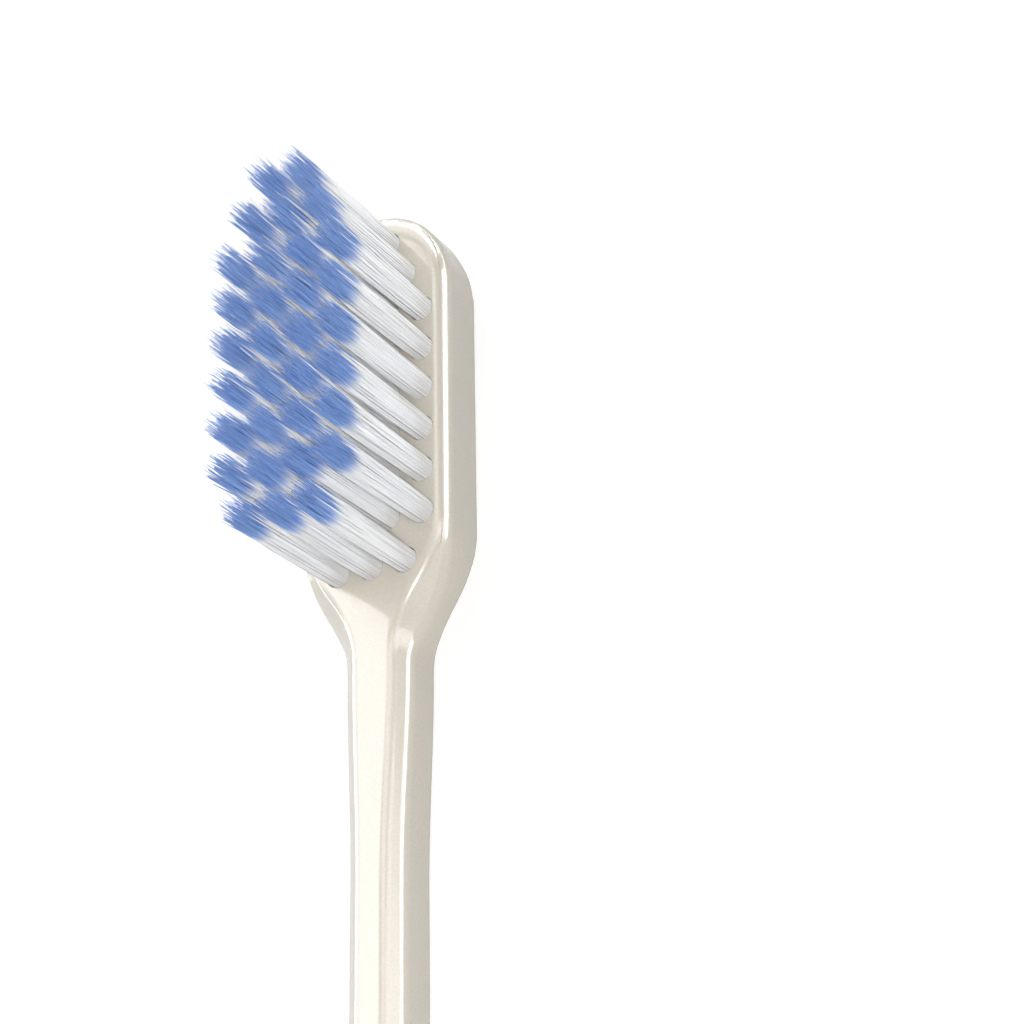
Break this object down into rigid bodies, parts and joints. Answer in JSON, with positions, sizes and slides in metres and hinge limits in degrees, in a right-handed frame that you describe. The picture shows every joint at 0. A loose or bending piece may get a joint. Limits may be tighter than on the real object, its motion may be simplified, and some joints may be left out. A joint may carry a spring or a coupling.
{
  "type": "manual toothbrush",
  "caption": "Manual toothbrush with a slim faceted neck, a small rounded head and trimmed upright tufts of white bristles with blue tips.",
  "frame": {"origin": "middle of the brush's length and width, on the flat back that it lies on", "axes": "+Y along the brush to the tip of the head, +Z out of the bristle face, +X to the right as seen with the tip up and the bristles towards the viewer"},
  "size_m": [0.0114, 0.182, 0.0157],
  "materials": {
    "handle_plastic": "moulded off-white plastic with a pearly gloss",
    "bristle_filament": "white nylon filament with blue dyed, tapered tips",
    "anchor_metal": "flat rolled wire, cut and pressed in"
  },
  "bodies": {
    "root": {"handle": "handle_plastic", "tuft_row_1_col_1": "bristle_filament", "tuft_row_1_col_2": "bristle_filament", "tuft_row_2_col_1": "bristle_filament", "tuft_row_2_col_2": "bristle_filament", "tuft_row_2_col_3": "bristle_filament", "tuft_row_3_col_1": "bristle_filament", "tuft_row_3_col_2": "bristle_filament", "tuft_row_3_col_3": "bristle_filament", "tuft_row_3_col_4": "bristle_filament", "tuft_row_4_col_1": "bristle_filament", "tuft_row_4_col_2": "bristle_filament", "tuft_row_4_col_3": "bristle_filament", "tuft_row_4_col_4": "bristle_filament", "tuft_row_5_col_1": "bristle_filament", "tuft_row_5_col_2": "bristle_filament", "tuft_row_5_col_3": "bristle_filament", "tuft_row_5_col_4": "bristle_filament", "tuft_row_6_col_1": "bristle_filament", "tuft_row_6_col_2": "bristle_filament", "tuft_row_6_col_3": "bristle_filament", "tuft_row_6_col_4": "bristle_filament", "tuft_row_7_col_1": "bristle_filament", "tuft_row_7_col_2": "bristle_filament", "tuft_row_7_col_3": "bristle_filament", "tuft_row_7_col_4": "bristle_filament", "tuft_row_8_col_1": "bristle_filament", "tuft_row_8_col_2": "bristle_filament", "tuft_row_8_col_3": "bristle_filament", "tuft_row_8_col_4": "bristle_filament", "tuft_row_9_col_1": "bristle_filament", "tuft_row_9_col_2": "bristle_filament", "tuft_row_9_col_3": "bristle_filament", "anchors_row_1": "anchor_metal", "anchors_row_2": "anchor_metal", "anchors_row_3": "anchor_metal", "anchors_row_4": "anchor_metal", "anchors_row_5": "anchor_metal", "anchors_row_6": "anchor_metal", "anchors_row_7": "anchor_metal", "anchors_row_8": "anchor_metal", "anchors_row_9": "anchor_metal"}
  },
  "joints": []
}
